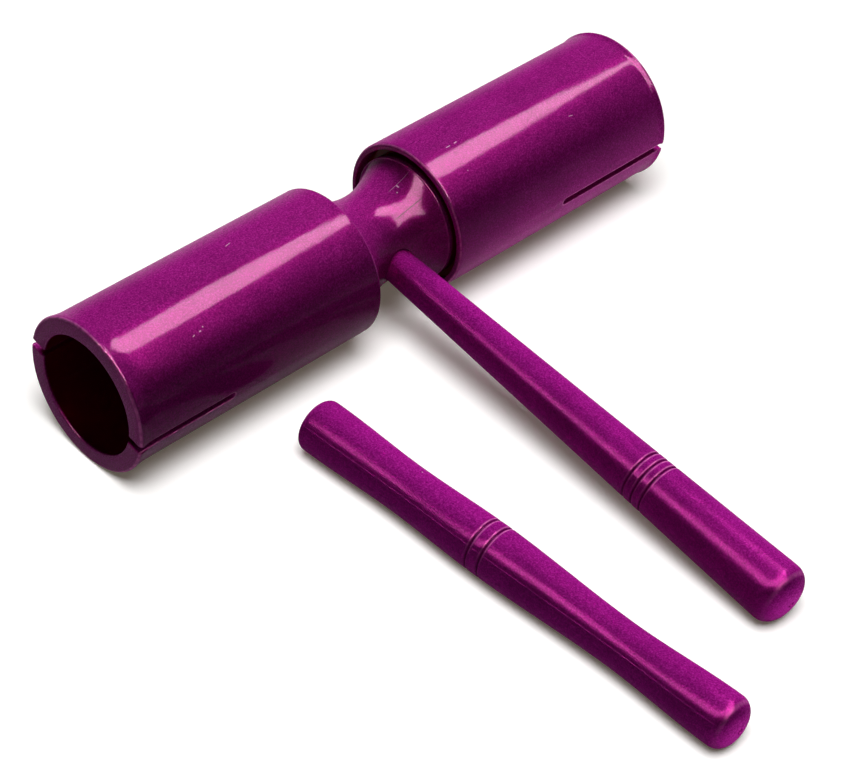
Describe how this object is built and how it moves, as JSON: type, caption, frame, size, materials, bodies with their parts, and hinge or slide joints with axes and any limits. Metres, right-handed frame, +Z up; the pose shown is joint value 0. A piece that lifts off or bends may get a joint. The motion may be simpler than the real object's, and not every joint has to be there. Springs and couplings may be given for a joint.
{
  "type": "tone block",
  "caption": "Two-tone moulded tone block: slotted tubes of high and low pitch on a waisted hub, with a handle and a loose beater.",
  "frame": {"origin": "on the surface the set lies on, under the middle of its outline: midway between the two mouths along X, and midway between the back of the tubes and the far tip of the beater along Y", "axes": "+X along the tubes towards the mouth of the low tube, -Y the way the handle points, +Z up"},
  "size_m": [0.2, 0.201, 0.0456],
  "materials": {
    "tube_plastic": "glossy moulded plastic with a fine satin speckle",
    "stick_plastic": "satin moulded plastic"
  },
  "bodies": {
    "block": {"hub": "tube_plastic", "high_tube": "tube_plastic", "low_tube": "tube_plastic", "handle": "stick_plastic"},
    "beater": {"beater": "stick_plastic"}
  },
  "joints": [
    {"name": "beater_lift", "type": "slide", "parent": "block", "child": "beater", "axis": [0, 0, 1], "range_m": [0, 0.15]}
  ]
}
